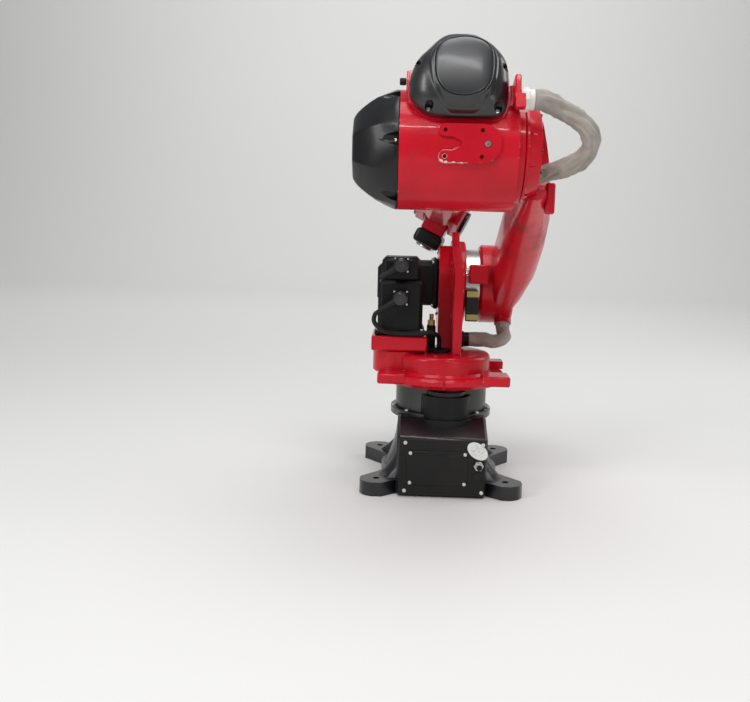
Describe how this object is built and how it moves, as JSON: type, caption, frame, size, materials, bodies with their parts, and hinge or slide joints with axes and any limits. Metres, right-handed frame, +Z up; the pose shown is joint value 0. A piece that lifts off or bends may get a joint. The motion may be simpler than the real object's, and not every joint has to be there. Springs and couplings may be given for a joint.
{
  "type": "industrial robot arm",
  "caption": "Floor-standing six-axis factory robot arm parked with its elbow behind a bolt-down base.",
  "frame": {"origin": "on the first joint's axis, on the underside of the feet", "axes": "+Z up along the first joint's axis, +Y towards the front of the robot, +X to its right seen from behind"},
  "size_m": [0.4141, 0.8391, 0.8824],
  "materials": {
    "red_paint": "gloss",
    "black_paint": "satin",
    "black_plastic": "semi-gloss",
    "motor_black": "satin",
    "machined_iron": "machined",
    "bright_steel": "machined",
    "rubber": "matte",
    "brass": "satin",
    "hose_fabric": "woven sleeve",
    "gland_white": "matte",
    "buffer_black": "satin"
  },
  "bodies": {
    "base": {"base_casting": "black_paint", "rear_cover": "black_plastic", "connector_plate": "black_plastic", "air_fitting": "bright_steel", "cable_duct": "black_plastic", "j1_stop_block": "black_plastic", "j1_reducer": "machined_iron"},
    "column": {"turntable": "red_paint", "motor_shelf": "red_paint", "shoulder_wall": "red_paint", "j1_motor": "motor_black", "j1_power_plug": "rubber", "j1_signal_plug": "rubber", "motor_cable": "rubber", "j2_motor": "motor_black", "j2_reducer": "bright_steel", "j2_buffer": "buffer_black", "cable_grommet": "rubber", "valve_block": "motor_black", "brass_fitting": "brass", "shoulder_hose_gland": "motor_black", "lower_hose": "hose_fabric"},
    "lower_arm": {"lower_arm": "red_paint"},
    "elbow": {"elbow_housing": "red_paint", "pad_plug": "bright_steel", "j3_reducer_ring": "red_paint", "j3_motor_cap": "black_plastic", "rear_hood": "black_plastic", "vent_fitting": "rubber", "hose_gland": "gland_white", "upper_hose": "hose_fabric", "j4_ring": "machined_iron"},
    "forearm": {"forearm": "red_paint", "fork_cover_left": "black_plastic", "fork_cover_right": "black_plastic"},
    "wrist": {"wrist_housing": "red_paint", "wrist_unit": "black_plastic"},
    "tool_flange": {"tool_flange": "bright_steel"}
  },
  "joints": [
    {"name": "j1_turn", "type": "hinge", "parent": "base", "child": "column", "pos_m": [0, 0, 0.2], "axis": [0, 0, 1], "range_deg": [-170, 170]},
    {"name": "j2_shoulder", "type": "hinge", "parent": "column", "child": "lower_arm", "pos_m": [0, 0.15, 0.43], "axis": [-1, 0, 0], "range_deg": [-5, 85], "deforming": ["lower_hose"]},
    {"name": "j3_elbow", "type": "hinge", "parent": "lower_arm", "child": "elbow", "pos_m": [0, -0.38602, 0.69959], "axis": [1, 0, 0], "range_deg": [0, 150], "deforming": ["upper_hose"]},
    {"name": "j4_forearm_roll", "type": "hinge", "parent": "elbow", "child": "forearm", "pos_m": [0, -0.35971, 0.78566], "axis": [0, 0.9563, -0.2924], "range_deg": [-198, 142]},
    {"name": "j5_wrist_bend", "type": "hinge", "parent": "forearm", "child": "wrist", "pos_m": [0, 0.27145, 0.59269], "axis": [0.8829, -0.1373, -0.449], "range_deg": [-30, 170]},
    {"name": "j6_tool_turn", "type": "hinge", "parent": "wrist", "child": "tool_flange", "pos_m": [0, 0.27145, 0.59269], "axis": [-0.4412, 0.0845, -0.8934], "range_deg": [-360, 360]}
  ]
}
